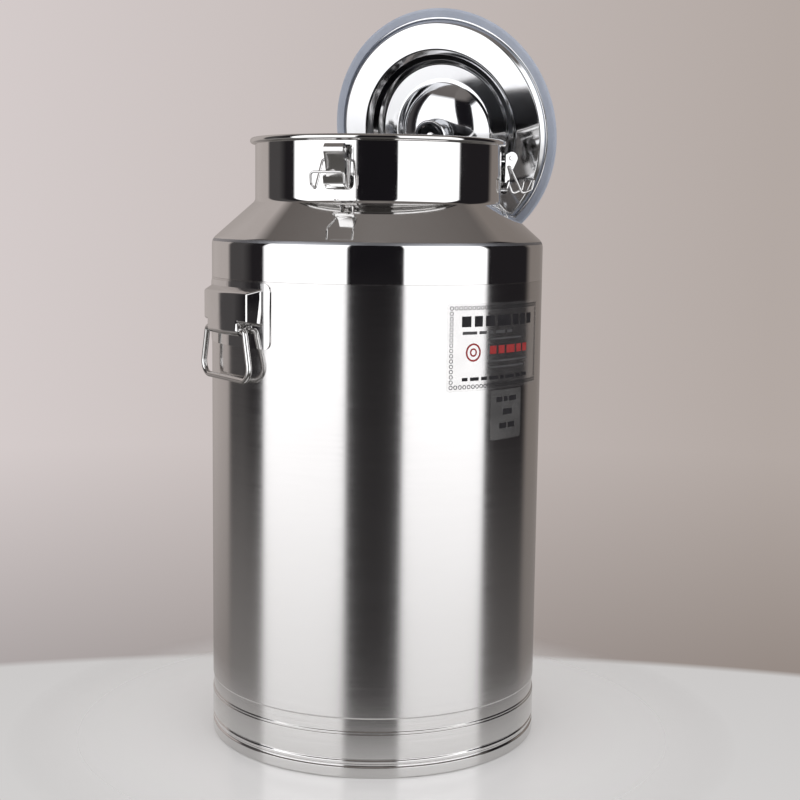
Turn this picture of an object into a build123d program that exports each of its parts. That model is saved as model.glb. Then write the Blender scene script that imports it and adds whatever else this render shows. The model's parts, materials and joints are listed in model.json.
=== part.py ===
from build123d import *
import os
from math import acos, cos, pi, radians, sin, sqrt, tan

# Milk can (sealed stainless can, about 55 litres) with a loose domed lid.
# Units are millimetres.  Z is up, the can's axis is the Z axis, the floor is Z = 0.
# The two side handles are on +X and -X.

os.makedirs("parts", exist_ok=True)

# ---------------------------------------------------------------- driving sizes
body_r = 175.0          # outside radius of the brushed wall
sheet = 1.0             # sheet of the wall, shoulder, neck and lid
foot_top = 45.3         # top edge of the foot ring
band_low = 48.2         # start of the recessed polished band
swage_z = 61.4          # step between the band and the wall
seam_z = 489.2          # seam between wall and shoulder
shoulder_z = 527.7      # corner where the shoulder cone starts
cone_top_z = 568.0      # corner where the neck starts
neck_r = 129.6          # outside radius of the neck
rim_c_r = 131.8         # centre of the rolled rim
rim_c_z = 629.9
rim_r = 3.2             # radius of the roll

handle_angles = {"left": 180.0, "right": 0.0}
plate_half = 66.0       # half length of a handle's backing plate, along the wall
plate_z = (422.6, 487.0)
cover_half = 57.0       # half length of the raised cover at its foot
cover_z = (445.0, 481.5)
cover_r = 186.4         # outside radius of the raised cover
apron_half = 33.0       # half length of the cover's middle part, which runs lower
apron_z = 434.0
pivot_x = 179.2         # bail pivot: distance from the can's axis
pivot_z = 439.3
knuckle_half = 25.0
knuckle_r = 4.0
bail_wire = 3.0         # radius of the bail's wire
bail_hole = 3.05
bail_low_z = 390.3      # centre line of the grip bar

latch_angles = {"front": -139.0, "right": -19.0, "rear": 101.0}
piv = (144.5, 616.8)    # lever pivot: distance from the axis, height
eye = (141.5, 607.6)    # wire's eye in the lever
curl_r = 6.5            # outside radius of the lever's curled top
lever_half = 9.8
flange_in = 8.6
tail_half = 13.5
pin_r = 1.6
wire_r = 1.3
wire_hole = 1.35

lid_angle = 30.0        # direction from the can's axis to the lid
lid_lean = 11.5         # lean of the lid off the vertical
lid_c = (157.5, 648.8)  # lid's centre: distance from the can's axis, height
lid_seal_r = 138.6
lid_sheet_r = 136.4
stem_r = 10.1
knob_r = 19.3

label_mid = -76.0       # product label, angle of its centre
label_half = 71.5       # half length along the wall
label_z = (385.0, 471.0)
sticker_mid = -73.5
sticker_half = 25.0
sticker_z = (334.0, 384.0)


# ---------------------------------------------------------------- small helpers
def upright(angle):
    """Vertical plane through the can's axis: local x runs outwards, local y up."""
    a = radians(angle)
    return Plane(origin=(0, 0, 0), x_dir=(cos(a), sin(a), 0), z_dir=(sin(a), -cos(a), 0))


def facing(angle, distance):
    """Plane square to a radius: local x runs round the can, local y up."""
    a = radians(angle)
    return Plane(origin=(distance * cos(a), distance * sin(a), 0),
                 x_dir=(-sin(a), cos(a), 0), z_dir=(cos(a), sin(a), 0))


def level(angle, z):
    """Horizontal plane with local x along the radius at this angle."""
    a = radians(angle)
    return Plane(origin=(0, 0, z), x_dir=(cos(a), sin(a), 0), z_dir=(0, 0, 1))


def at(angle, rho, t, z):
    """Point given as distance outwards, distance round and height."""
    a = radians(angle)
    return Vector(rho * cos(a) - t * sin(a), rho * sin(a) + t * cos(a), z)


def polar(centre, radius, degrees_):
    return (centre[0] + radius * cos(radians(degrees_)), centre[1] + radius * sin(radians(degrees_)))


def bend(a, b, c, r):
    """The two tangent points and the middle of an arc of radius r at corner b."""
    a, b, c = Vector(a), Vector(b), Vector(c)
    u, v = (a - b).normalized(), (c - b).normalized()
    half = acos(max(-1.0, min(1.0, u.dot(v)))) / 2
    run = r / tan(half)
    centre = b + (u + v).normalized() * (r / sin(half))
    return b + u * run, centre - (u + v).normalized() * r, b + v * run


def run_path(corners, closed=False):
    """Lines and arcs through corners given as (point, corner radius)."""
    pts = [Vector(*p) if not isinstance(p, Vector) else p for p, _ in corners]
    rad = [r for _, r in corners]
    n = len(pts)
    ends = []
    for i in range(n):
        if rad[i] > 0 and (closed or 0 < i < n - 1):
            ends.append(bend(pts[i - 1], pts[i], pts[(i + 1) % n], rad[i]))
        else:
            ends.append((pts[i], None, pts[i]))
    for i in range(n):
        if ends[i][1] is not None:
            ThreePointArc(ends[i][0], ends[i][1], ends[i][2])
        j = (i + 1) % n
        if (closed or j > i) and (ends[j][0] - ends[i][2]).length > 1e-6:
            Line(ends[i][2], ends[j][0])


def beside(corners, t):
    """The same path moved t to its left, with its corner radii to match."""
    pts = [Vector(*p) for p, _ in corners]
    out = []
    for i, (p, r) in enumerate(corners):
        p = pts[i]
        d0 = (p - pts[i - 1]).normalized() if i else None
        d1 = (pts[i + 1] - p).normalized() if i < len(pts) - 1 else None
        d0, d1 = d0 or d1, d1 or d0
        n0, n1 = Vector(-d0.Y, d0.X), Vector(-d1.Y, d1.X)
        m = (n0 + n1).normalized()
        q = p + m * (t / m.dot(n0))
        turn = d0.X * d1.Y - d0.Y * d1.X
        r2 = 0 if r == 0 else max(0.05, r - t if turn > 0 else r + t)
        out.append(((q.X, q.Y), r2))
    return out


def strip(corners, t):
    """Closed outline of sheet of thickness t lying left of a path."""
    run_path(corners)
    other = beside(corners, t)
    run_path(other)
    Line(corners[0][0], other[0][0])
    Line(corners[-1][0], other[-1][0])


def keep(piece, name):
    piece.part.label = name
    export_step(piece.part, "parts/" + name + ".step")


# ---------------------------------------------------------------- foot ring
# A skirt with a folded hem at the floor and a rolled groove with a bead above it.
with BuildPart() as foot_ring:
    with BuildSketch(Plane.XZ):
        with BuildLine():
            run_path([
                ((171.6, 0.0), 0.8), ((174.3, 0.0), 0.7), ((175.2, 1.4), 1.0), ((175.2, 10.9), 0.7),
                ((173.5, 12.3), 1.0), ((173.5, 14.0), 0.9), ((175.1, 15.4), 1.0), ((175.1, 17.7), 0.9),
                ((174.0, 19.0), 0.5), ((175.2, 20.5), 0.6), ((175.2, foot_top - 0.7), 0.4),
                ((174.5, foot_top), 0), ((173.3, foot_top), 0), ((173.3, foot_top - 2.3), 0.5),
                ((174.0, foot_top - 3.8), 0.6), ((174.0, 22.3), 0.8), ((172.3, 19.6), 0.8),
                ((172.3, 11.8), 0.6), ((171.6, 10.6), 0.5)], closed=True)
        make_face()
    revolve(axis=Axis.Z)
keep(foot_ring, "foot_ring")

# ---------------------------------------------------------------- wall
# Brushed cylinder with a recessed polished band and a weld bead at its foot.
with BuildPart() as body_wall:
    with BuildSketch(Plane.XZ):
        with BuildLine():
            run_path([
                ((174.5, foot_top), 0), ((174.95, foot_top + 0.6), 0.2), ((174.95, band_low - 0.9), 0.4),
                ((174.2, band_low), 0.3), ((174.2, swage_z - 0.7), 0.5), ((body_r, swage_z + 0.7), 0.5),
                ((body_r, seam_z - 0.4), 0), ((body_r - 0.4, seam_z), 0), ((body_r - sheet, seam_z), 0),
                ((body_r - sheet, swage_z + 1.0), 0.5), ((173.2, swage_z - 0.4), 0.5),
                ((173.2, foot_top), 0)], closed=True)
        make_face()
    revolve(axis=Axis.Z)
keep(body_wall, "body_wall")

# ---------------------------------------------------------------- bottom pan
# Pressed floor with a raised middle, its flange turned down inside the band.
with BuildPart() as bottom_pan:
    with BuildSketch(Plane.XZ):
        with BuildLine():
            run_path([
                ((0, 63.4), 0), ((0, 64.4), 0), ((118, 64.4), 5), ((123, 61.4), 4), ((173.08, 61.4), 8),
                ((173.08, 46.2), 0), ((172.08, 46.2), 0), ((172.08, 60.4), 7), ((122.6, 60.4), 5),
                ((117.6, 63.4), 4)], closed=True)
        make_face()
    revolve(axis=Axis.Z)
keep(bottom_pan, "bottom_pan")

# ---------------------------------------------------------------- shoulder and neck
# One spinning: short wall, cone, neck and the rim curled over a wire.
shoulder_path = [((body_r, seam_z), 0), ((body_r, shoulder_z), 12), ((neck_r, cone_top_z), 7),
                 ((neck_r, rim_c_z), 0)]
rim_c = (rim_c_r, rim_c_z)
curl_end = -130.0
with BuildPart() as shoulder_neck:
    with BuildSketch(Plane.XZ):
        with BuildLine():
            run_path(shoulder_path)
            ThreePointArc((neck_r, rim_c_z), polar(rim_c, rim_r - sheet, 25), polar(rim_c, rim_r - sheet, curl_end))
            Line(polar(rim_c, rim_r - sheet, curl_end), polar(rim_c, rim_r, curl_end))
            ThreePointArc(polar(rim_c, rim_r, curl_end), polar(rim_c, rim_r, 25), (neck_r - sheet, rim_c_z))
            run_path(beside(shoulder_path, sheet))
            Line((body_r, seam_z), (body_r - sheet, seam_z))
        make_face()
    revolve(axis=Axis.Z)
keep(shoulder_neck, "shoulder_neck")

# The wire inside the rolled rim.
with BuildPart() as rim_wire:
    with BuildSketch(Plane.XZ):
        with Locations(rim_c):
            Circle(rim_r - sheet - 0.1)
    revolve(axis=Axis.Z)
keep(rim_wire, "rim_wire")

# ---------------------------------------------------------------- labels
# Thin film stuck on the wall; both are blank here.
label_t = 0.15
for name, mid, half, span in (("product_label", label_mid, label_half, label_z),
                              ("capacity_sticker", sticker_mid, sticker_half, sticker_z)):
    turn = half / body_r * 180 / pi
    with BuildPart() as film:
        with BuildSketch(upright(mid - turn)):
            with BuildLine():
                run_path([((body_r + 0.03, span[0]), 0), ((body_r + 0.03 + label_t, span[0]), 0),
                          ((body_r + 0.03 + label_t, span[1]), 0), ((body_r + 0.03, span[1]), 0)], closed=True)
            make_face()
        revolve(axis=Axis.Z, revolution_arc=2 * turn)
        fillet(film.edges().filter_by(lambda e: e.length < 1.0), 3.0)
    keep(film, name)

# ---------------------------------------------------------------- side handles
for side, angle in handle_angles.items():
    # Backing plate, bent to the wall and spot-welded on.
    turn = plate_half / body_r * 180 / pi
    plate_out = body_r + 1.2
    with BuildPart() as plate:
        with BuildSketch(upright(angle - turn)):
            with BuildLine():
                run_path([((body_r + 0.03, plate_z[0]), 0), ((plate_out, plate_z[0]), 0),
                          ((plate_out, plate_z[1]), 0), ((body_r + 0.03, plate_z[1]), 0)], closed=True)
            make_face()
        revolve(axis=Axis.Z, revolution_arc=2 * turn)
        fillet(plate.edges().filter_by(lambda e: e.length < 2.0), 8.0)
    keep(plate, "handle_" + side + "_plate")

    # Raised pressed cover with bevelled ends, hollow behind.  Its middle runs on down
    # as an apron, rolled in under the ends of the bail.
    turn = cover_half / body_r * 180 / pi
    foot_r = plate_out + 0.02
    crown = cover_half - 10.0
    apron_turn = apron_half / cover_r * 180 / pi
    with BuildPart() as cover:
        with BuildSketch(upright(angle - turn)):
            with BuildLine():
                run_path([((foot_r, cover_z[0]), 0), ((cover_r, cover_z[0] + 2.6), 0),
                          ((cover_r, cover_z[1] - 4.6), 0), ((foot_r, cover_z[1]), 0)], closed=True)
            make_face()
        revolve(axis=Axis.Z, revolution_arc=2 * turn)
        # bevel each end from its foot up to the crown
        with BuildSketch(level(angle, cover_z[0] - 2)):
            for s in (1, -1):
                low = (foot_r * cos(radians(turn)), s * foot_r * sin(radians(turn)))
                top = (sqrt(cover_r ** 2 - crown ** 2), s * crown)
                beyond = (top[0] + (top[0] - low[0]) * 0.5, top[1] + (top[1] - low[1]) * 0.5)
                with BuildLine():
                    Polyline(low, beyond, (beyond[0], s * 75), (low[0] - 8, s * 75), (low[0] - 8, s * 62), low)
                make_face()
        extrude(amount=cover_z[1] - cover_z[0] + 4, mode=Mode.SUBTRACT)
        fillet(cover.edges().filter_by(lambda e: sqrt(e.center().X ** 2 + e.center().Y ** 2) > cover_r - 6.9), 3.0)
        with BuildSketch(upright(angle - apron_turn)):
            with BuildLine():
                run_path([((foot_r, cover_z[0] + 8), 0), ((foot_r, apron_z), 0), ((cover_r, apron_z), 5.6),
                          ((cover_r, cover_z[0] + 8), 0)], closed=True)
            make_face()
        revolve(axis=Axis.Z, revolution_arc=2 * apron_turn)
        inner = (crown - 5.0) / cover_r * 180 / pi
        with BuildSketch(upright(angle - inner)):
            with BuildLine():
                run_path([((foot_r - 3, cover_z[0] + 1.0), 0), ((cover_r - 1.3, cover_z[0] + 4.2), 2.0),
                          ((cover_r - 1.3, cover_z[1] - 6.2), 2.0), ((foot_r - 3, cover_z[1] - 1.0), 0)], closed=True)
            make_face()
        revolve(axis=Axis.Z, revolution_arc=2 * inner, mode=Mode.SUBTRACT)
        inner = (apron_half - 1.3) / cover_r * 180 / pi
        with BuildSketch(upright(angle - inner)):
            with BuildLine():
                run_path([((foot_r - 3, cover_z[0] + 8), 0), ((foot_r - 3, apron_z + 1.1), 0),
                          ((cover_r - 1.2, apron_z + 1.1), 4.4), ((cover_r - 1.2, cover_z[0] + 8), 0)], closed=True)
            make_face()
        revolve(axis=Axis.Z, revolution_arc=2 * inner, mode=Mode.SUBTRACT)
        with BuildSketch(upright(angle)):
            with Locations((pivot_x, pivot_z)):
                Circle(bail_hole + 0.05)
        extrude(amount=apron_half + 6, both=True, mode=Mode.SUBTRACT)
    keep(cover, "handle_" + side + "_cover")

    # Knuckle tube inside the apron; the bail's two ends turn in its bore.
    with BuildPart() as knuckle:
        with BuildSketch(upright(angle)):
            with Locations((pivot_x, pivot_z)):
                Circle(knuckle_r)
        extrude(amount=knuckle_half, both=True)
        with BuildSketch(Plane.XY.offset(pivot_z - 12)):
            Circle(cover_r - 1.25)
        extrude(amount=24, mode=Mode.INTERSECT)
        with BuildSketch(Plane.XY.offset(pivot_z - 12)):
            Circle(foot_r)
        extrude(amount=24, mode=Mode.SUBTRACT)
        with BuildSketch(upright(angle)):
            with Locations((pivot_x, pivot_z)):
                Circle(bail_hole)
        extrude(amount=knuckle_half + 2, both=True, mode=Mode.SUBTRACT)
    keep(knuckle, "handle_" + side + "_knuckle")

    # Wire bail: two inward ends, flared legs and a straight grip bar.
    with BuildPart() as bail:
        with BuildLine() as bail_path:
            run_path([(at(angle, pivot_x, t, z), r) for t, z, r in (
                (20, pivot_z, 0), (41.4, pivot_z, 4.5), (54.2, bail_low_z, 13),
                (-54.2, bail_low_z, 13), (-41.4, pivot_z, 4.5), (-20, pivot_z, 0))])
        with BuildSketch(Plane(origin=bail_path.wires()[0] @ 0, z_dir=bail_path.wires()[0] % 0)):
            Circle(bail_wire)
        sweep()
    keep(bail, "handle_" + side + "_bail")

# ---------------------------------------------------------------- latches
curl_a, curl_b = 100.0, -28.0
heel = (145.2, 603.0)       # where the lever's face turns down to the tail
tail_a, tail_b, tail_c = (142.2, 593.35), (139.0, 583.0), (141.0, 579.2)
for place, angle in latch_angles.items():
    # Base plate with two ears, welded on the neck.
    turn = 14.0 / neck_r * 180 / pi
    with BuildPart() as base:
        with BuildSketch(upright(angle)):
            with BuildLine():
                Polyline((130.2, 613.5), (139.2, 614.0), (140.6, 616.0), (143.4, 613.2), (142.6, 611.4),
                         (131.2, 592.5), (130.2, 592.5), (130.2, 613.5))
            make_face()
            with Locations(piv):
                Circle(4.8)
                Circle(pin_r + 0.02, mode=Mode.SUBTRACT)
        extrude(amount=7.6, both=True)
        with BuildSketch(upright(angle)):
            with Locations((145, 605)):
                Rectangle(40, 50)
        extrude(amount=6.4, both=True, mode=Mode.SUBTRACT)
        with BuildSketch(upright(angle - turn)):
            with BuildLine():
                run_path([((neck_r + 0.03, 590), 0), ((neck_r + 1.3, 590), 0), ((neck_r + 1.3, 620), 0),
                          ((neck_r + 0.03, 620), 0)], closed=True)
            make_face()
        revolve(axis=Axis.Z, revolution_arc=2 * turn)
    keep(base, "latch_" + place + "_base")

    # Rivet pin through the ears and the lever.
    with BuildPart() as pin:
        with BuildSketch(upright(angle)):
            with Locations(piv):
                Circle(pin_r)
        extrude(amount=11.0, both=True)
        for s in (1, -1):
            plane = upright(angle).offset(s * 10.1)
            with BuildSketch(plane):
                with Locations(piv):
                    Circle(2.7)
            extrude(amount=s * 1.1)
        fillet(pin.edges().group_by(Axis((0, 0, 0), upright(angle).z_dir))[0], 0.4)
        fillet(pin.edges().group_by(Axis((0, 0, 0), upright(angle).z_dir))[-1], 0.4)
    keep(pin, "latch_" + place + "_pin")

    # Lever: curled top, two side flanges with the pin and wire holes, flared tail.
    with BuildPart() as lever:
        with BuildSketch(upright(angle)):
            with BuildLine():
                Line((137.6, 590.5), (138.0, 620.2))
                Line((138.0, 620.2), polar(piv, curl_r, curl_a))
                ThreePointArc(polar(piv, curl_r, curl_a), polar(piv, curl_r, 36), polar(piv, curl_r, curl_b))
                Line(polar(piv, curl_r, curl_b), heel)
                Line(heel, (141.6, 591.4))
                Line((141.6, 591.4), (137.6, 590.5))
            make_face()
        extrude(amount=lever_half, both=True)
        with BuildSketch(upright(angle)):
            with BuildLine():
                ThreePointArc(polar(piv, curl_r - 1, curl_a), polar(piv, curl_r - 1, 36), polar(piv, curl_r - 1, curl_b))
                Line(polar(piv, curl_r - 1, curl_b), (144.27, 603.36))
                Line((144.27, 603.36), (138.27, 584))
                Line((138.27, 584), (128, 584))
                Line((128, 584), (128, 627))
                Line((128, 627), polar(piv, 10.3, curl_a))
                Line(polar(piv, 10.3, curl_a), polar(piv, curl_r - 1, curl_a))
            make_face()
        extrude(amount=flange_in, both=True, mode=Mode.SUBTRACT)
        with BuildSketch(upright(angle)):
            with BuildLine():
                strip([(tail_a, 0), (tail_b, 4), (tail_c, 0)], -1.0)
            make_face()
        extrude(amount=tail_half, both=True)
        with BuildSketch(upright(angle)):
            with Locations(piv):
                Circle(pin_r + 0.05)
            with Locations(eye):
                Circle(wire_hole)
        extrude(amount=lever_half + 2, both=True, mode=Mode.SUBTRACT)
        # round the tail's corners
        with BuildSketch(facing(angle, 132)):
            with Locations((0, 586)):
                Rectangle(40, 18)
            with BuildLine():
                run_path([((-tail_half, 593.3), 3), ((-tail_half, 578.9), 7), ((tail_half, 578.9), 7),
                          ((tail_half, 593.3), 3)], closed=True)
            make_face(mode=Mode.SUBTRACT)
            with Locations((0, 592)):
                Rectangle(2 * lever_half, 12, mode=Mode.SUBTRACT)
        extrude(amount=18, mode=Mode.SUBTRACT)
    keep(lever, "latch_" + place + "_lever")

    # Wire loop: eyes in the lever, two legs, and the hook that goes over the lid's edge.
    loop = [(141.5, 8.35, 607.6, 0), (141.5, 13.4, 607.6, 2.2), (155.0, 16.2, 579.0, 3.5), (165.5, 16.7, 583.5, 3.0),
            (168.0, 16.7, 595.0, 3.5)]
    loop = loop + [(r, -t, z, b) for r, t, z, b in reversed(loop)]
    with BuildPart() as wire:
        with BuildLine() as wire_path:
            run_path([(at(angle, r, t, z), b) for r, t, z, b in loop])
        with BuildSketch(Plane(origin=wire_path.wires()[0] @ 0, z_dir=wire_path.wires()[0] % 0)):
            Circle(wire_r)
        sweep()
    keep(wire, "latch_" + place + "_wire")

# ---------------------------------------------------------------- lid
# The lid hangs on the rim by its knob: the knob's stem lies on the rolled rim, its head
# is inside the neck and the lid's lower edge leans on the corner of the shoulder.
fa, fl = radians(lid_angle), radians(lid_lean)
lid_o = (lid_c[0] * cos(fa), lid_c[0] * sin(fa), lid_c[1])
lid_n = (-cos(fl) * cos(fa), -cos(fl) * sin(fa), -sin(fl))      # out of the lid's top
lid_u = (-sin(fl) * cos(fa), -sin(fl) * sin(fa), cos(fl))       # up along the lid
lid_side = Vector(lid_u).cross(Vector(lid_n))
lid_plane = Plane(origin=lid_o, x_dir=lid_u, z_dir=lid_side)    # local x = radius, local y = height
lid_axis = Axis(lid_o, lid_n)

lid_top = [((2.7, 18.8), 0), ((34.2, 18.8), 52), ((58.0, -3.4), 8), ((77.3, -3.6), 3), ((82.4, 2.4), 1.5),
           ((88.4, 3.9), 1.5), ((94.3, 10.5), 3), ((122.8, 7.9), 3), ((127.2, 0.5), 2.5), ((lid_sheet_r, 0.5), 0)]
with BuildPart() as lid_shell:
    with BuildSketch(lid_plane):
        with BuildLine():
            strip(lid_top, -sheet)
        make_face()
    revolve(axis=lid_axis)
keep(lid_shell, "lid_shell")

# Silicone ring folded over the lid's edge.
with BuildPart() as lid_seal:
    with BuildSketch(lid_plane):
        with BuildLine():
            run_path([((128.8, 0.5), 0), ((128.8, 2.0), 0.7), ((136.4, 2.2), 1.6), ((lid_seal_r, 1.0), 0.9),
                      ((lid_seal_r, -1.0), 0.9), ((136.4, -2.2), 1.6), ((128.8, -2.0), 0.7), ((128.8, -0.5), 0),
                      ((lid_sheet_r + 0.1, -0.5), 0), ((lid_sheet_r + 0.1, 0.5), 0)], closed=True)
        make_face()
    revolve(axis=lid_axis)
keep(lid_seal, "lid_seal")

with BuildPart() as lid_washer:
    with BuildSketch(lid_plane):
        with BuildLine():
            run_path([((2.7, 18.8), 0), ((12.6, 18.8), 0), ((12.6, 19.8), 0.5), ((2.7, 19.8), 0)], closed=True)
        make_face()
    revolve(axis=lid_axis)
keep(lid_washer, "lid_knob_washer")

# Mushroom knob with a dished face.
with BuildPart() as lid_knob:
    with BuildSketch(lid_plane):
        with BuildLine():
            run_path([((2.6, 19.8), 0), ((stem_r, 19.8), 0.5), ((stem_r, 32.6), 0.8), ((18.5, 33.7), 0.4),
                      ((knob_r, 34.3), 0.4), ((knob_r, 35.4), 0.6), ((18.2, 36.4), 0.6), ((15.0, 36.6), 0.6),
                      ((12.9, 34.6), 0.8), ((2.6, 34.3), 0)], closed=True)
        make_face()
    revolve(axis=lid_axis)
keep(lid_knob, "lid_knob")

# Pan-head screw down through the knob, and its nut under the lid.
with BuildPart() as lid_screw:
    with BuildSketch(lid_plane):
        with BuildLine():
            run_path([((0, 11.6), 0), ((2.1, 11.6), 0), ((2.5, 12.2), 0), ((2.5, 34.3), 0), ((5.2, 34.4), 0),
                      ((5.2, 35.6), 0.8), ((3.0, 36.5), 0.9), ((0, 36.5), 0)], closed=True)
        make_face()
    revolve(axis=lid_axis)
keep(lid_screw, "lid_knob_screw")

nut_plane = Plane(origin=Vector(lid_o) + Vector(lid_n) * 13.7, x_dir=lid_u, z_dir=lid_n)
with BuildPart() as lid_nut:
    with BuildSketch(nut_plane):
        RegularPolygon(4.6, 6)
        Circle(2.52, mode=Mode.SUBTRACT)
    extrude(amount=4.0)
    chamfer(lid_nut.edges().filter_by(lambda e: abs(e.length - 4.6) < 0.3), 0.3)
keep(lid_nut, "lid_knob_nut")
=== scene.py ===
import bpy, bmesh, json, math
from mathutils import Vector, Matrix


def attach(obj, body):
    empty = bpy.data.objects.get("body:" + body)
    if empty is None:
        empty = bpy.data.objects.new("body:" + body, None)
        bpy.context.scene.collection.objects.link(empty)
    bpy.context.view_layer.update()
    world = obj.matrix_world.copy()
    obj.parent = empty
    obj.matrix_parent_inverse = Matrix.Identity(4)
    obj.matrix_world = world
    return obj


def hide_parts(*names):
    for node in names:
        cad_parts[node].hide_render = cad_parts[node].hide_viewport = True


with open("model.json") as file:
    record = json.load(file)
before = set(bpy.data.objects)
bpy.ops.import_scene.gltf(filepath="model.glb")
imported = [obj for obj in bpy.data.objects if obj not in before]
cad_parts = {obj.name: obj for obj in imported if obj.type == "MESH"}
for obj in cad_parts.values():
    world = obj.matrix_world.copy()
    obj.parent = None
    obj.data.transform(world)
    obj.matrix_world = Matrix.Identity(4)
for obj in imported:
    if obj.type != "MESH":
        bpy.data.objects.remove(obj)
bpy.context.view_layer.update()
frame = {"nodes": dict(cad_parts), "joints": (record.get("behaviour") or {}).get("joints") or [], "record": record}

NODES = frame["nodes"]
JOINTS = {j["name"]: j for j in frame["joints"]}
BODY_OF = {n: b for b, ns in frame["record"]["behaviour"]["bodies"].items() for n in ns}
MM = 0.001
scene = bpy.context.scene
rad = math.radians


# ------------------------------------------------------------------ camera
turn, pitch, yaw, roll = rad(-32.0), rad(7.3), rad(-1.02), rad(0.71)
spin = Matrix.Rotation(turn + yaw, 3, "Z")
fwd = spin @ Vector((0, math.cos(pitch), -math.sin(pitch)))
upv = spin @ Vector((0, math.sin(pitch), math.cos(pitch)))
rgt = spin @ Vector((1, 0, 0))
r2 = math.cos(roll) * rgt + math.sin(roll) * upv
u2 = -math.sin(roll) * rgt + math.cos(roll) * upv
eye_at = Matrix.Rotation(turn, 3, "Z") @ Vector((-0.0023, -1.5807, 0.5593))
cam_data = bpy.data.cameras.new("cam")
cam_data.sensor_width = 36.0
cam_data.lens = 66.49
cam = bpy.data.objects.new("cam", cam_data)
scene.collection.objects.link(cam)
m = Matrix((r2, u2, -fwd)).transposed().to_4x4()
m.translation = eye_at
cam.matrix_world = m
scene.camera = cam


# ------------------------------------------------------------------ node helpers
def new_mat(name):
    mat = bpy.data.materials.new(name)
    mat.use_nodes = True
    nt = mat.node_tree
    nt.nodes.clear()
    out = nt.nodes.new("ShaderNodeOutputMaterial")
    bsdf = nt.nodes.new("ShaderNodeBsdfPrincipled")
    nt.links.new(bsdf.outputs["BSDF"], out.inputs["Surface"])
    return mat, nt, bsdf


def mth(nt, op, a, b=None, c=None, clamp=False):
    n = nt.nodes.new("ShaderNodeMath")
    n.operation = op
    n.use_clamp = clamp
    for i, v in enumerate((a, b, c)):
        if v is None:
            continue
        if isinstance(v, (int, float)):
            n.inputs[i].default_value = v
        else:
            nt.links.new(v, n.inputs[i])
    return n.outputs[0]


def noise(nt, vec, scale, detail=3.0, rough=0.55, dist=0.0):
    n = nt.nodes.new("ShaderNodeTexNoise")
    n.inputs["Scale"].default_value = scale
    n.inputs["Detail"].default_value = detail
    n.inputs["Roughness"].default_value = rough
    n.inputs["Distortion"].default_value = dist
    nt.links.new(vec, n.inputs["Vector"])
    return n.outputs["Fac"]


def ramp(nt, fac, stops, interp="LINEAR"):
    n = nt.nodes.new("ShaderNodeValToRGB")
    n.color_ramp.interpolation = interp
    el = n.color_ramp.elements
    while len(el) > 1:
        el.remove(el[-1])
    for i, (p, c) in enumerate(stops):
        e = el[0] if i == 0 else el.new(p)
        e.position = p
        e.color = (c, c, c, 1) if isinstance(c, (int, float)) else (*c, 1)
    nt.links.new(fac, n.inputs["Fac"])
    return n.outputs["Color"]


def span(nt, v, a, b, c, d):
    n = nt.nodes.new("ShaderNodeMapRange")
    n.inputs["From Min"].default_value = a
    n.inputs["From Max"].default_value = b
    n.inputs["To Min"].default_value = c
    n.inputs["To Max"].default_value = d
    nt.links.new(v, n.inputs["Value"])
    return n.outputs["Result"]


def mixc(nt, fac, a, b):
    n = nt.nodes.new("ShaderNodeMix")
    n.data_type = "RGBA"
    for sock, v in ((n.inputs["Factor"], fac), (n.inputs[6], a), (n.inputs[7], b)):
        if isinstance(v, (int, float)):
            sock.default_value = v
        elif isinstance(v, tuple):
            sock.default_value = (*v, 1)
        else:
            nt.links.new(v, sock)
    return n.outputs[2]


def comb(nt, x, y, z):
    n = nt.nodes.new("ShaderNodeCombineXYZ")
    for i, v in enumerate((x, y, z)):
        if isinstance(v, (int, float)):
            n.inputs[i].default_value = v
        else:
            nt.links.new(v, n.inputs[i])
    return n.outputs[0]


def bump(nt, height, strength, distance, normal=None):
    n = nt.nodes.new("ShaderNodeBump")
    n.inputs["Strength"].default_value = strength
    n.inputs["Distance"].default_value = distance
    nt.links.new(height, n.inputs["Height"])
    if normal is not None:
        nt.links.new(normal, n.inputs["Normal"])
    return n.outputs["Normal"]


def coords(nt):
    n = nt.nodes.new("ShaderNodeTexCoord")
    s = nt.nodes.new("ShaderNodeSeparateXYZ")
    nt.links.new(n.outputs["Object"], s.inputs[0])
    return n.outputs["Object"], s.outputs[0], s.outputs[1], s.outputs[2]


def round_z(nt):
    """Object coordinates wound round Z: (cos, sin of the angle, height) so noise runs in long rings."""
    obj, x, y, z = coords(nt)
    r = mth(nt, "MAXIMUM", mth(nt, "SQRT", mth(nt, "ADD", mth(nt, "MULTIPLY", x, x), mth(nt, "MULTIPLY", y, y))), 1e-4)
    return obj, mth(nt, "DIVIDE", x, r), mth(nt, "DIVIDE", y, r), z, r


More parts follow.
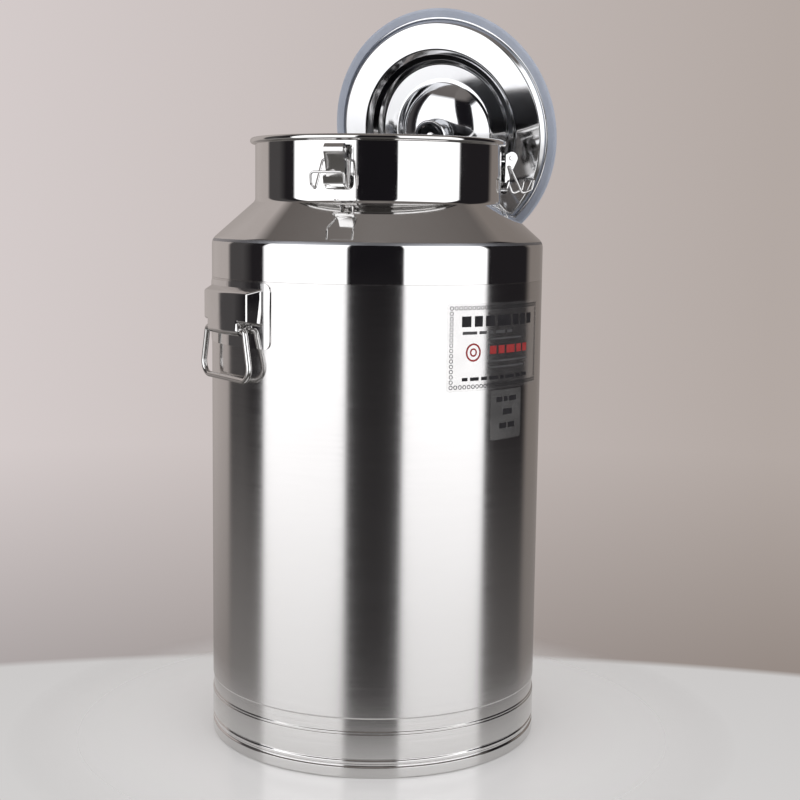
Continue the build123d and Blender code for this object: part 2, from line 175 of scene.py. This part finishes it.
# ------------------------------------------------------------------ materials
def brushed_steel(name, colour=(0.640, 0.630, 0.622), rough=(0.20, 0.25), grain=1.0, aniso=0.6, zrange=None):
    """Satin sheet brushed round the can: long fine scratches, cloudy roughness, faint colour change."""
    mat, nt, b = new_mat(name)
    obj, ca, sa, z, r = round_z(nt)
    ring = comb(nt, mth(nt, "MULTIPLY", ca, 4.0), mth(nt, "MULTIPLY", sa, 4.0), mth(nt, "MULTIPLY", z, 1500.0))
    fine = noise(nt, ring, 1.6, 3.0, 0.65)
    ring2 = comb(nt, mth(nt, "MULTIPLY", ca, 1.5), mth(nt, "MULTIPLY", sa, 1.5), mth(nt, "MULTIPLY", z, 260.0))
    broad = noise(nt, ring2, 1.6, 3.0, 0.55)
    cloud = noise(nt, obj, 5.5, 4.0, 0.55)
    spots = noise(nt, obj, 42.0, 5.0, 0.7)
    tone = mth(nt, "ADD", mth(nt, "MULTIPLY", fine, 0.6), mth(nt, "MULTIPLY", broad, 0.4))
    dark = tuple(c * 0.955 for c in colour)
    lite = tuple(min(1.0, c * 1.035) for c in colour)
    col = mixc(nt, tone, dark, lite)
    col = mixc(nt, span(nt, cloud, 0.35, 0.7, 0.0, 0.08), col, (0.60, 0.575, 0.55))
    nt.links.new(col, b.inputs["Base Color"])
    ro = span(nt, broad, 0.3, 0.7, rough[0], rough[1])
    ro = mth(nt, "ADD", ro, span(nt, cloud, 0.3, 0.7, -0.01, 0.012))
    ro = mth(nt, "ADD", ro, span(nt, spots, 0.64, 0.78, 0.0, 0.02))
    if zrange:
        ro = mth(nt, "ADD", ro, span(nt, z, zrange[0], zrange[1], zrange[2], zrange[3]))
    nt.links.new(ro, b.inputs["Roughness"])
    b.inputs["Metallic"].default_value = 1.0
    b.inputs["Anisotropic"].default_value = aniso
    b.inputs["Anisotropic Rotation"].default_value = 0.25
    tg = nt.nodes.new("ShaderNodeTangent")
    tg.direction_type = "RADIAL"
    tg.axis = "Z"
    nt.links.new(tg.outputs[0], b.inputs["Tangent"])
    nt.links.new(bump(nt, fine, 0.10 * grain, 0.00002), b.inputs["Normal"])
    return mat


def polished_steel(name, colour=(0.735, 0.728, 0.722), rough=(0.030, 0.075), wave=1.0, tint=(0.66, 0.64, 0.62), scale=1.0):
    """Mirror-polished sheet: slight waviness, polishing haze, sparse hairline scratches."""
    mat, nt, b = new_mat(name)
    obj, x, y, z = coords(nt)
    slow = noise(nt, obj, 7.0 * scale, 2.0, 0.5)
    haze = noise(nt, obj, 28.0 * scale, 5.0, 0.65)
    fine = noise(nt, comb(nt, mth(nt, "MULTIPLY", x, 60.0), mth(nt, "MULTIPLY", y, 60.0), mth(nt, "MULTIPLY", z, 1500.0)), 1.0, 2.0, 0.6)
    hair = noise(nt, comb(nt, mth(nt, "MULTIPLY", x, 900.0), mth(nt, "MULTIPLY", y, 700.0), mth(nt, "MULTIPLY", z, 45.0)), 1.0, 1.0, 0.5, 0.6)
    col = mixc(nt, span(nt, haze, 0.35, 0.75, 0.0, 0.35), colour, tint)
    nt.links.new(col, b.inputs["Base Color"])
    ro = span(nt, haze, 0.35, 0.75, rough[0], rough[1])
    ro = mth(nt, "ADD", ro, span(nt, hair, 0.70, 0.80, 0.0, 0.06))
    nt.links.new(ro, b.inputs["Roughness"])
    b.inputs["Metallic"].default_value = 1.0
    n1 = bump(nt, slow, 0.5 * wave, 0.00045)
    n2 = bump(nt, fine, 0.10, 0.00001, n1)
    nt.links.new(n2, b.inputs["Normal"])
    return mat


def silicone(name):
    mat, nt, b = new_mat(name)
    obj, x, y, z = coords(nt)
    cloud = noise(nt, obj, 22.0, 4.0, 0.6)
    grain = noise(nt, obj, 900.0, 3.0, 0.6)
    dust = noise(nt, obj, 260.0, 2.0, 0.7)
    col = mixc(nt, span(nt, cloud, 0.3, 0.7, 0.0, 1.0), (0.330, 0.360, 0.430), (0.390, 0.420, 0.490))
    col = mixc(nt, span(nt, dust, 0.66, 0.78, 0.0, 0.30), col, (0.40, 0.42, 0.46))
    nt.links.new(col, b.inputs["Base Color"])
    nt.links.new(span(nt, grain, 0.3, 0.7, 0.30, 0.46), b.inputs["Roughness"])
    b.inputs["Subsurface Weight"].default_value = 0.20
    b.inputs["Subsurface Radius"].default_value = (0.9, 1.0, 1.2)
    b.inputs["Subsurface Scale"].default_value = 0.003
    b.inputs["IOR"].default_value = 1.42
    nt.links.new(bump(nt, grain, 0.25, 0.00003), b.inputs["Normal"])
    return mat


def clear_film(name, alpha=(0.16, 0.24), colour=(0.80, 0.80, 0.80)):
    mat, nt, b = new_mat(name)
    obj, x, y, z = coords(nt)
    cloud = noise(nt, obj, 38.0, 4.0, 0.6)
    crease = noise(nt, obj, 9.0, 2.0, 0.5, 0.8)
    nt.links.new(mixc(nt, cloud, colour, tuple(min(1, c * 1.06) for c in colour)), b.inputs["Base Color"])
    nt.links.new(span(nt, cloud, 0.3, 0.7, 0.20, 0.36), b.inputs["Roughness"])
    nt.links.new(span(nt, cloud, 0.3, 0.7, alpha[0], alpha[1]), b.inputs["Alpha"])
    b.inputs["Specular IOR Level"].default_value = 0.12
    nt.links.new(bump(nt, crease, 0.25, 0.0002), b.inputs["Normal"])
    return mat


def ink(name, colour):
    mat, nt, b = new_mat(name)
    obj, x, y, z = coords(nt)
    speck = noise(nt, obj, 700.0, 3.0, 0.7)
    wear = noise(nt, obj, 60.0, 4.0, 0.6)
    c2 = tuple(min(1.0, c * 1.5 + 0.012) for c in colour)
    nt.links.new(mixc(nt, span(nt, mth(nt, "ADD", mth(nt, "MULTIPLY", speck, 0.6), mth(nt, "MULTIPLY", wear, 0.4)), 0.40, 0.65, 0.0, 1.0), colour, c2), b.inputs["Base Color"])
    nt.links.new(span(nt, speck, 0.3, 0.7, 0.42, 0.6), b.inputs["Roughness"])
    b.inputs["Specular IOR Level"].default_value = 0.12
    return mat


M_WALL = brushed_steel("brushed_wall", rough=(0.17, 0.205), aniso=0.55, zrange=(0.10, 0.46, 0.035, -0.045))
# Inside surfaces of the can: rougher satin steel, with a colour darker than the outside steel as painted shade for the
# dim interior.
M_INSIDE_SHADE = brushed_steel("inside_steel_painted_shade", colour=(0.40, 0.41, 0.44), rough=(0.36, 0.44), aniso=0.3)
M_FOOT = brushed_steel("foot_steel", colour=(0.66, 0.652, 0.642), rough=(0.13, 0.19), grain=0.6, aniso=0.5)
M_BAND = brushed_steel("band_steel", colour=(0.66, 0.652, 0.642), rough=(0.12, 0.17), grain=0.5, aniso=0.5)
M_NECK = polished_steel("polished_shoulder")
M_HANDLE = polished_steel("handle_steel", colour=(0.73, 0.725, 0.722), rough=(0.05, 0.12), wave=0.8, scale=2.0)
M_BAIL = polished_steel("bail_wire_steel", colour=(0.70, 0.695, 0.69), rough=(0.06, 0.14), wave=0.4, scale=3.0)
M_LATCH = polished_steel("latch_steel", colour=(0.74, 0.737, 0.735), rough=(0.07, 0.16), wave=0.5, scale=4.0)
M_LID = polished_steel("lid_steel", colour=(0.735, 0.742, 0.755), rough=(0.062, 0.105), wave=0.5, tint=(0.66, 0.66, 0.67))
M_SEAL = silicone("silicone")
M_FILM = clear_film("clear_film", alpha=(0.025, 0.045), colour=(0.42, 0.41, 0.41))
M_STICK = clear_film("sticker_film", alpha=(0.05, 0.08), colour=(0.45, 0.45, 0.445))
M_INK = ink("print_dark", (0.012, 0.011, 0.013))
M_INK2 = ink("print_grey", (0.055, 0.054, 0.056))
M_RED = ink("print_red", (0.235, 0.022, 0.022))


# ------------------------------------------------------------------ mesh helpers
def rounded(corners, closed=True, step=7.0):
    """Points along lines and arcs through corners given as (x, y, radius)."""
    n = len(corners)
    out = []
    for i, (x, y, r) in enumerate(corners):
        b = Vector((x, y))
        if r <= 0 or (not closed and i in (0, n - 1)):
            out.append(b)
            continue
        a = Vector(corners[i - 1][:2])
        c = Vector(corners[(i + 1) % n][:2])
        u, v = (a - b).normalized(), (c - b).normalized()
        half = math.acos(max(-1, min(1, u.dot(v)))) / 2
        run = r / math.tan(half)
        mid = b + (u + v).normalized() * (r / math.sin(half))
        p0, p1 = b + u * run - mid, b + v * run - mid
        a0, a1 = math.atan2(p0.y, p0.x), math.atan2(p1.y, p1.x)
        while a1 - a0 > math.pi:
            a1 -= 2 * math.pi
        while a1 - a0 < -math.pi:
            a1 += 2 * math.pi
        k = max(2, math.ceil(abs(a1 - a0) / rad(step)))
        for j in range(k + 1):
            t = a0 + (a1 - a0) * j / k
            out.append(mid + Vector((math.cos(t), math.sin(t))) * r)
    return out


def beside(corners, t):
    """The same open path moved t to its left, radii to match (the rule the CAD sheet uses)."""
    pts = [Vector(c[:2]) for c in corners]
    out = []
    for i, p in enumerate(pts):
        d0 = (p - pts[i - 1]).normalized() if i else None
        d1 = (pts[i + 1] - p).normalized() if i < len(pts) - 1 else None
        d0, d1 = d0 or d1, d1 or d0
        n0, n1 = Vector((-d0.y, d0.x)), Vector((-d1.y, d1.x))
        m_ = (n0 + n1).normalized()
        q = p + m_ * (t / m_.dot(n0))
        r = corners[i][2]
        bend = d0.x * d1.y - d0.y * d1.x
        out.append((q.x, q.y, 0 if r == 0 else max(0.05, r - t if bend > 0 else r + t)))
    return out


def held(points, closed=True, near=0.12, far=14.0):
    """Adds points close to the ends of long straight runs, so smooth shading stays true along them.
    The chords of an arc are left whole, as extra points on them would shade as small flats."""
    out = []
    n = len(points)

    def turn(j):
        if not closed and not 0 < j < n - 1:
            return 1.0
        u, w = points[j % n] - points[j - 1 if j else n - 1], points[(j + 1) % n] - points[j % n]
        return abs(u.angle_signed(w, 0.0)) if u.length > 1e-6 and w.length > 1e-6 else 1.0

    for i in range(n if closed else n - 1):
        a, b = points[i], points[(i + 1) % n]
        out.append(a)
        L = (b - a).length
        arc = L < 8.0 and 0.004 < turn(i) < 0.16 and 0.004 < turn((i + 1) % n) < 0.16
        if L > 1.2 and not arc:
            e = min(near, L * 0.1)
            k = max(1, math.ceil((L - 2 * e) / far))
            for j in range(k + 1):
                out.append(a.lerp(b, (e + (L - 2 * e) * j / k) / L))
    if not closed:
        out.append(points[-1])
    return out


def finish_mesh(name, bm, mat, body, stands_for=(), angle=32.0, mats=None):
    me = bpy.data.meshes.new(name)
    bmesh.ops.recalc_face_normals(bm, faces=bm.faces)
    bm.to_mesh(me)
    bm.free()
    for mm in (mats or [mat]):
        me.materials.append(mm)
    me.shade_smooth()
    me.set_sharp_from_angle(angle=rad(angle))
    ob = bpy.data.objects.new(name, me)
    scene.collection.objects.link(ob)
    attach(ob, body)
    if stands_for:
        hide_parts(*stands_for)
    return ob


WORLD = (Vector((0, 0, 0)), Vector((1, 0, 0)), Vector((0, 1, 0)), Vector((0, 0, 1)))


def lathe(name, points, mat, body, stands_for, seg=288, frame_=WORLD, angle=32.0, mats=None, pick=None):
    """Turns a closed outline (radius, height) in millimetres about an axis."""
    o, ex, ey, ez = frame_
    bm = bmesh.new()
    rings = []
    for p in points:
        if p.x < 1e-6:
            rings.append([bm.verts.new((o + ez * p.y) * MM)])
        else:
            rings.append([bm.verts.new((o + (ex * math.cos(2 * math.pi * k / seg) + ey * math.sin(2 * math.pi * k / seg)) * p.x + ez * p.y) * MM) for k in range(seg)])
    n = len(rings)
    for i in range(n):
        a, b = rings[i], rings[(i + 1) % n]
        if len(a) == 1 and len(b) == 1:
            continue
        idx = pick((points[i] + points[(i + 1) % n]) / 2) if pick else 0
        for k in range(seg):
            k2 = (k + 1) % seg
            if len(a) == 1:
                f = bm.faces.new((a[0], b[k], b[k2]))
            elif len(b) == 1:
                f = bm.faces.new((a[k], b[0], a[k2]))
            else:
                f = bm.faces.new((a[k], b[k], b[k2], a[k2]))
            f.material_index = idx
    return finish_mesh(name, bm, mat, body, stands_for, angle, mats)


def refined(node, mat, name=None, bevel=0.0, angle=30.0):
    """A clean, smooth-shaded copy of a CAD node's surface, with edges softened by a bevel when bevel is above zero."""
    src = NODES[node]
    bm = bmesh.new()
    bm.from_mesh(src.data)
    bmesh.ops.remove_doubles(bm, verts=bm.verts, dist=2e-6)
    bmesh.ops.dissolve_degenerate(bm, edges=bm.edges, dist=1e-6)
    ob = finish_mesh(name or node + "_skin", bm, mat, BODY_OF[node], (node,), angle)
    if bevel:
        md = ob.modifiers.new("edge", "BEVEL")
        md.width = bevel * MM
        md.segments = 2
        md.limit_method = "ANGLE"
        md.angle_limit = rad(38)
        md.harden_normals = True
    return ob


# ------------------------------------------------------------------ can body
body_r, sheet = 175.0, 1.0
foot_top, band_low, swage_z, seam_z = 45.3, 48.2, 61.4, 489.2
shoulder_z, cone_top_z, neck_r, rim_c_r, rim_c_z, rim_r = 527.7, 568.0, 129.6, 131.8, 629.9, 3.2

foot = rounded([
    (171.6, 0.0, 0.8), (174.3, 0.0, 0.7), (175.2, 1.4, 1.0), (175.2, 10.9, 0.7), (173.5, 12.3, 1.0), (173.5, 14.0, 0.9),
    (175.1, 15.4, 1.0), (175.1, 17.7, 0.9), (174.0, 19.0, 0.5), (175.2, 20.5, 0.6), (175.2, foot_top - 0.7, 0.4),
    (174.5, foot_top, 0), (173.3, foot_top, 0), (173.3, foot_top - 2.3, 0.5), (174.0, foot_top - 3.8, 0.6),
    (174.0, 22.3, 0.8), (172.3, 19.6, 0.8), (172.3, 11.8, 0.6), (171.6, 10.6, 0.5)], step=12)
lathe("foot_ring_skin", held(foot), M_FOOT, "can", ("foot_ring",),
      mats=[M_FOOT, M_NECK], pick=lambda p: 1 if 11.2 < p.y < 20.4 and p.x > 173.2 else 0)

wall = rounded([
    (174.5, foot_top, 0), (174.95, foot_top + 0.6, 0.2), (174.95, band_low - 0.9, 0.4), (174.2, band_low, 0.3),
    (174.2, swage_z - 0.7, 0.5), (body_r, swage_z + 0.7, 0.5), (body_r, seam_z - 0.4, 0), (body_r - 0.4, seam_z, 0),
    (body_r - sheet, seam_z, 0), (body_r - sheet, swage_z + 1.0, 0.5), (173.2, swage_z - 0.4, 0.5), (173.2, foot_top, 0)], step=12)
lathe("body_wall_skin", held(wall), M_WALL, "can", ("body_wall",),
      mats=[M_WALL, M_BAND, M_INSIDE_SHADE], pick=lambda p: (2 if p.y > 62.0 else 1) if p.x < 174.15 else (1 if p.y < 61.0 else 0))

pan = rounded([
    (0, 63.4, 0), (0, 64.4, 0), (118, 64.4, 5), (123, 61.4, 4), (173.08, 61.4, 8), (173.08, 46.2, 0), (172.08, 46.2, 0),
    (172.08, 60.4, 7), (122.6, 60.4, 5), (117.6, 63.4, 4)], step=12)
lathe("bottom_pan_skin", held(pan), M_FOOT, "can", ("bottom_pan",))

sp = [(body_r, seam_z, 0), (body_r, shoulder_z, 12), (neck_r, cone_top_z, 7), (neck_r, rim_c_z, 0)]
end = -130.0
curl_in = [Vector((rim_c_r + (rim_r - sheet) * math.cos(rad(a)), rim_c_z + (rim_r - sheet) * math.sin(rad(a)))) for a in
           [180 - 10 * i for i in range(1, 31)] + [end]]
curl_out = [Vector((rim_c_r + rim_r * math.cos(rad(a)), rim_c_z + rim_r * math.sin(rad(a)))) for a in
            [end] + [-125 + 5 * i for i in range(0, 61)]]
neck = rounded(sp, closed=False, step=4) + curl_in + curl_out + list(reversed(rounded(beside(sp, sheet), closed=False, step=4)))[1:]
clean = [neck[0]]
for p in neck[1:]:
    if (p - clean[-1]).length > 1e-4:
        clean.append(p)
INNER = [Vector((body_r - sheet, seam_z)), Vector((body_r - sheet, shoulder_z - 0.4)), Vector((neck_r - sheet, cone_top_z - 0.4)), Vector((neck_r - sheet, rim_c_z))]


def inside(p):
    """True for points of the outline on the inner side of the shoulder and neck."""
    for a, b_ in zip(INNER, INNER[1:]):
        t_ = max(0.0, min(1.0, (p - a).dot(b_ - a) / (b_ - a).length_squared))
        if (p - a.lerp(b_, t_)).length < 0.45 or (p.y > 560 and p.x < neck_r - 0.6 and p.y < rim_c_z - 1):
            return True
    return p.y < 580 and (p - INNER[1]).length < 4 and p.x < body_r - 0.7 and p.y < 520


lathe("shoulder_neck_skin", held(clean, far=8.0), M_NECK, "can", ("shoulder_neck",), seg=320,
      mats=[M_NECK, M_INSIDE_SHADE], pick=lambda p: 1 if inside(p) else 0)
NODES["rim_wire"].data.materials.clear()
NODES["rim_wire"].data.materials.append(M_NECK)

# ------------------------------------------------------------------ lid
fa, fl = rad(30.0), rad(11.5)
lid_o = Vector((157.5 * math.cos(fa), 157.5 * math.sin(fa), 648.8))
lid_n = Vector((-math.cos(fl) * math.cos(fa), -math.cos(fl) * math.sin(fa), -math.sin(fl)))
lid_u = Vector((-math.sin(fl) * math.cos(fa), -math.sin(fl) * math.sin(fa), math.cos(fl)))
LID = (lid_o, lid_u, lid_n.cross(lid_u), lid_n)
top = [(2.7, 18.8, 0), (34.2, 18.8, 52), (58.0, -3.4, 8), (77.3, -3.6, 3), (82.4, 2.4, 1.5), (88.4, 3.9, 1.5), (94.3, 10.5, 3),
       (122.8, 7.9, 3), (127.2, 0.5, 2.5), (136.4, 0.5, 0)]
shell = rounded(top, closed=False, step=3) + list(reversed(rounded(beside(top, -sheet), closed=False, step=3)))
lathe("lid_shell_skin", held(shell, far=5.0), M_LID, "lid", ("lid_shell",), frame_=LID)
seal = rounded([(128.8, 0.5, 0), (128.8, 2.0, 0.7), (136.4, 2.2, 1.6), (138.6, 1.0, 0.9), (138.6, -1.0, 0.9), (136.4, -2.2, 1.6),
                (128.8, -2.0, 0.7), (128.8, -0.5, 0), (136.5, -0.5, 0), (136.5, 0.5, 0)], step=12)
lathe("lid_seal_skin", held(seal), M_SEAL, "lid", ("lid_seal",), frame_=LID)
washer = rounded([(2.7, 18.8, 0), (12.6, 18.8, 0), (12.6, 19.8, 0.5), (2.7, 19.8, 0)], step=15)
lathe("lid_knob_washer_skin", held(washer), M_LID, "lid", ("lid_knob_washer",), frame_=LID, seg=96)
knob = rounded([(2.6, 19.8, 0), (10.1, 19.8, 0.5), (10.1, 32.6, 0.8), (18.5, 33.7, 0.4), (19.3, 34.3, 0.4), (19.3, 35.4, 0.6),
                (18.2, 36.4, 0.6), (15.0, 36.6, 0.6), (12.9, 34.6, 0.8), (2.6, 34.3, 0)], step=10)
lathe("lid_knob_skin", held(knob, far=3.0), M_LID, "lid", ("lid_knob",), frame_=LID, seg=128)
screw = rounded([(0, 11.6, 0), (2.1, 11.6, 0), (2.5, 12.2, 0), (2.5, 34.3, 0), (5.2, 34.4, 0), (5.2, 35.6, 0.8), (3.0, 36.5, 0.9),
                 (0, 36.5, 0)], step=12)
lathe("lid_knob_screw_skin", held(screw, far=3.0), M_LATCH, "lid", ("lid_knob_screw",), frame_=LID, seg=64)
refined("lid_knob_nut", M_LATCH)

# ------------------------------------------------------------------ handles and latches
for n in sorted(NODES):
    if n.startswith("handle_") and n.endswith("_bail"):
        refined(n, M_BAIL, angle=40)
    elif n.startswith("handle_"):
        refined(n, M_HANDLE, angle=28)
    elif n.startswith("latch_"):
        refined(n, M_LATCH, angle=30)

# ------------------------------------------------------------------ labels
refined("product_label", M_FILM, angle=20)
refined("capacity_sticker", M_STICK, angle=20)


def patch(bm, s0, s1, z0, z1, mid, idx, r=175.196, slant=0.0):
    """A strip of print on the film; s runs round the can from the label's middle, in millimetres."""
    k = max(1, math.ceil(abs(s1 - s0) / 2.5))
    rows = []
    for j in range(k + 1):
        s = s0 + (s1 - s0) * j / k
        a = rad(mid) + s / r
        rows.append([bm.verts.new(Vector((r * math.cos(a), r * math.sin(a), z)) * MM) for z in (z0, z1)])
    for j in range(k):
        f = bm.faces.new((rows[j][0], rows[j + 1][0], rows[j + 1][1], rows[j][1]))
        f.material_index = idx


def ringlet(bm, s, z, ro, ri, mid, idx, r=175.196, seg=14, sx=1.0):
    vs = []
    for j in range(seg):
        t = 2 * math.pi * j / seg
        vs.append([bm.verts.new(Vector((r * math.cos(rad(mid) + (s + q * sx * math.cos(t)) / r), r * math.sin(rad(mid) + (s + q * sx * math.cos(t)) / r), z + q * math.sin(t))) * MM) for q in (ro, ri)])
    for j in range(seg):
        a, b = vs[j], vs[(j + 1) % seg]
        bm.faces.new((a[0], b[0], b[1], a[1])).material_index = idx


LM = -76.0
bm = bmesh.new()
# chain border
hs, z0, z1 = 66.5, 389.5, 466.5
for i in range(27):
    s = -hs + 2 * hs * i / 26
    for z in (z0, z1):
        ringlet(bm, s, z, 2.1, 1.45, LM, 0)
for i in range(1, 15):
    z = z0 + (z1 - z0) * i / 15
    for s in (-hs, hs):
        ringlet(bm, s, z, 2.1, 1.45, LM, 0)
# plain bars where the original has lines of print
x = -55.0
for w in (13, 12, 14, 22, 12, 12, 12):
    patch(bm, x, x + w - 2.2, 448.0, 458.5, LM, 0)
    x += w + 2.1
x = -54.0
for w in (17, 9, 6, 14, 9):
    patch(bm, x, x + w, 440.6, 443.6, LM, 1)
    x += w + 3.2
for z, a, b in ((434.6, -22, 30), (412.6, -22, 44), (406.6, -22, 36)):
    patch(bm, a, b, z, z + 1.7, LM, 1)
x = -20.0
for w in (11, 11, 16, 11, 11):
    patch(bm, x, x + w - 2, 420.5, 428.5, LM, 2)
    x += w + 1.2
ringlet(bm, -41.0, 423.0, 9.0, 7.2, LM, 2, seg=40)
ringlet(bm, -41.0, 423.0, 4.2, 2.6, LM, 2, seg=28)
x = -54.0
for w in (8, 12, 9, 14, 7, 16, 10, 12):
    patch(bm, x, x + w - 1.6, 395.2, 398.6, LM, 0)
    x += w + 1.6
finish_mesh("label_print", bm, M_INK, "can", (), mats=[M_INK, M_INK2, M_RED])

SM = -73.5
bm = bmesh.new()
x = -17.0
for w in (9, 6, 13):
    patch(bm, x, x + w, 372.0, 377.0, SM, 0)
    x += w + 2.4
patch(bm, -7, 8, 358.5, 364.5, SM, 0)
patch(bm, -12, -1, 345.0, 350.5, SM, 0)
patch(bm, 2, 13, 345.0, 350.5, SM, 0)
finish_mesh("sticker_print", bm, M_INK, "can", (), mats=[M_INK])

# ------------------------------------------------------------------ floor
bm = bmesh.new()
rings = [0.0, 0.1, 0.16, 0.2, 0.24, 0.28, 0.32, 0.36, 0.4]
prev = [bm.verts.new((0, 0, -0.00002))]
for q in rings[1:]:
    ring = [bm.verts.new((q * math.cos(2 * math.pi * k / 96), q * math.sin(2 * math.pi * k / 96), -0.00002)) for k in range(96)]
    for k in range(96):
        if len(prev) == 1:
            bm.faces.new((prev[0], ring[k], ring[(k + 1) % 96]))
        else:
            bm.faces.new((prev[k], ring[k], ring[(k + 1) % 96], prev[(k + 1) % 96]))
    prev = ring
me = bpy.data.meshes.new("floor")
bm.to_mesh(me)
bm.free()
floor = bpy.data.objects.new("floor", me)
scene.collection.objects.link(floor)
mat, nt, b = new_mat("floor")
obj, x_, y_, z_ = coords(nt)
dist = mth(nt, "SQRT", mth(nt, "ADD", mth(nt, "MULTIPLY", x_, x_), mth(nt, "MULTIPLY", y_, y_)))
b.inputs["Base Color"].default_value = (0.78, 0.772, 0.768, 1)
b.inputs["Roughness"].default_value = 0.16
nt.links.new(span(nt, dist, 0.19, 0.395, 1.0, 0.0), b.inputs["Alpha"])
me.materials.append(mat)

# ------------------------------------------------------------------ studio
world = bpy.data.worlds.new("studio")
scene.world = world
world.use_nodes = True
wt = world.node_tree
wt.nodes.clear()
wout = wt.nodes.new("ShaderNodeOutputWorld")
tc = wt.nodes.new("ShaderNodeTexCoord")
mp = wt.nodes.new("ShaderNodeMapping")
mp.vector_type = "POINT"
mp.inputs["Rotation"].default_value = (0, 0, rad(32.0))
wt.links.new(tc.outputs["Generated"], mp.inputs["Vector"])
sep = wt.nodes.new("ShaderNodeSeparateXYZ")
wt.links.new(mp.outputs[0], sep.inputs[0])
az = mth(wt, "DIVIDE", mth(wt, "ARCTAN2", sep.outputs[0], mth(wt, "MULTIPLY", sep.outputs[1], -1.0)), 2 * math.pi)
pos = mth(wt, "ADD", az, 0.5)
P = lambda deg: deg / 360 + 0.5
WHITE, BLACK, SIDE, BEIGE = (1.75, 1.75, 1.78), (0.010, 0.009, 0.011), (0.018, 0.016, 0.018), (0.250, 0.222, 0.205)
LBEIGE, RBEIGE, MBEIGE, LGREY = (0.520, 0.470, 0.450), (0.260, 0.228, 0.210), (0.330, 0.295, 0.278), (0.078, 0.073, 0.074)
sides = ramp(wt, pos, [
    (0.0, MBEIGE), (P(-150), LBEIGE), (P(-124), LBEIGE), (P(-120), LGREY), (P(-104), LGREY), (P(-94), SIDE), (P(-84), SIDE), (P(-82), WHITE),
    (P(-20.6), WHITE), (P(-19.6), BLACK), (P(17.0), BLACK), (P(18.0), WHITE), (P(78.5), WHITE), (P(80.5), SIDE), (P(123), SIDE),
    (P(131), RBEIGE), (P(150), RBEIGE), (1.0, MBEIGE)])
DIM, DBLACK, DSIDE, DBEIGE = (0.97, 0.96, 0.96), (0.040, 0.037, 0.038), (0.165, 0.155, 0.151), (0.260, 0.238, 0.228)
dims = ramp(wt, pos, [
    (0.0, DBEIGE), (P(-124), DBEIGE), (P(-118), (0.290, 0.275, 0.268)), (P(-88), (0.290, 0.275, 0.268)), (P(-80), DIM),
    (P(-21.5), DIM), (P(-19.0), DBLACK), (P(16.5), DBLACK), (P(19.0), DIM), (P(77), DIM), (P(82), DSIDE), (P(123), DSIDE),
    (P(131), DBEIGE), (1.0, DBEIGE)])
el = mth(wt, "ARCSINE", sep.outputs[2])
veil = ramp(wt, pos, [(0.0, 0.0), (P(-84), 0.0), (P(-82), 0.0), (P(-20.6), 0.0), (P(-19.6), 1.0), (P(17.0), 1.0), (P(18.0), 0.0), (1.0, 0.0)])
sides = mixc(wt, mth(wt, "MULTIPLY", veil, span(wt, el, rad(-6), rad(-2), 1.0, 0.0)), sides, (0.030, 0.028, 0.029))
sides = mixc(wt, span(wt, el, rad(-19), rad(-8.5), 1.0, 0.0), sides, dims)
roof = span(wt, el, rad(40), rad(47), 0.0, 1.0)
deep = span(wt, el, rad(-34), rad(-24), 1.0, 0.0)
overhead = mixc(wt, span(wt, el, rad(47), rad(90), 0.0, 1.0), (0.16, 0.143, 0.135), (0.235, 0.215, 0.205))
stripe = ramp(wt, pos, [(0.0, 0.0), (P(-20.6), 0.0), (P(-19.6), 1.0), (P(17.0), 1.0), (P(18.0), 0.0), (1.0, 0.0)])
overhead = mixc(wt, mth(wt, "MULTIPLY", stripe, 0.35), overhead, (0.30, 0.275, 0.26))
env = mixc(wt, roof, sides, overhead)
env = mixc(wt, deep, env, (0.10, 0.095, 0.09))
bg_env = wt.nodes.new("ShaderNodeBackground")
wt.links.new(env, bg_env.inputs["Color"])
bg_env.inputs["Strength"].default_value = 1.0
bg_dif = wt.nodes.new("ShaderNodeBackground")
wt.links.new(mixc(wt, span(wt, el, 0.0, rad(70), 0.0, 1.0), (0.80, 0.79, 0.79), (1.15, 1.14, 1.14)), bg_dif.inputs["Color"])
bg_cam = wt.nodes.new("ShaderNodeBackground")
across = span(wt, sep.outputs[0], -0.26, 0.26, 0.0, 1.0)
back = mixc(wt, across, (0.665, 0.605, 0.600), (0.450, 0.395, 0.368))
low_back = mixc(wt, across, (0.420, 0.382, 0.378), (0.300, 0.255, 0.232))
back = mixc(wt, span(wt, el, rad(-17.0), rad(-9.0), 0.0, 1.0), low_back, back)
back = mixc(wt, span(wt, el, rad(-17.15), rad(-16.95), 1.0, 0.0), back, mixc(wt, span(wt, el, rad(-25), rad(-17), 1.0, 0.0), (0.600, 0.585, 0.580), (0.665, 0.655, 0.650)))
wt.links.new(back, bg_cam.inputs["Color"])
lp = wt.nodes.new("ShaderNodeLightPath")
m1 = wt.nodes.new("ShaderNodeMixShader")
wt.links.new(lp.outputs["Is Diffuse Ray"], m1.inputs[0])
wt.links.new(bg_env.outputs[0], m1.inputs[1])
wt.links.new(bg_dif.outputs[0], m1.inputs[2])
m2 = wt.nodes.new("ShaderNodeMixShader")
wt.links.new(lp.outputs["Is Camera Ray"], m2.inputs[0])
wt.links.new(m1.outputs[0], m2.inputs[1])
wt.links.new(bg_cam.outputs[0], m2.inputs[2])
wt.links.new(m2.outputs[0], wout.inputs["Surface"])
scene.view_settings.view_transform = "Standard"
scene.view_settings.look = "None"

# ------------------------------------------------------------------ view layer update
bpy.context.view_layer.update()
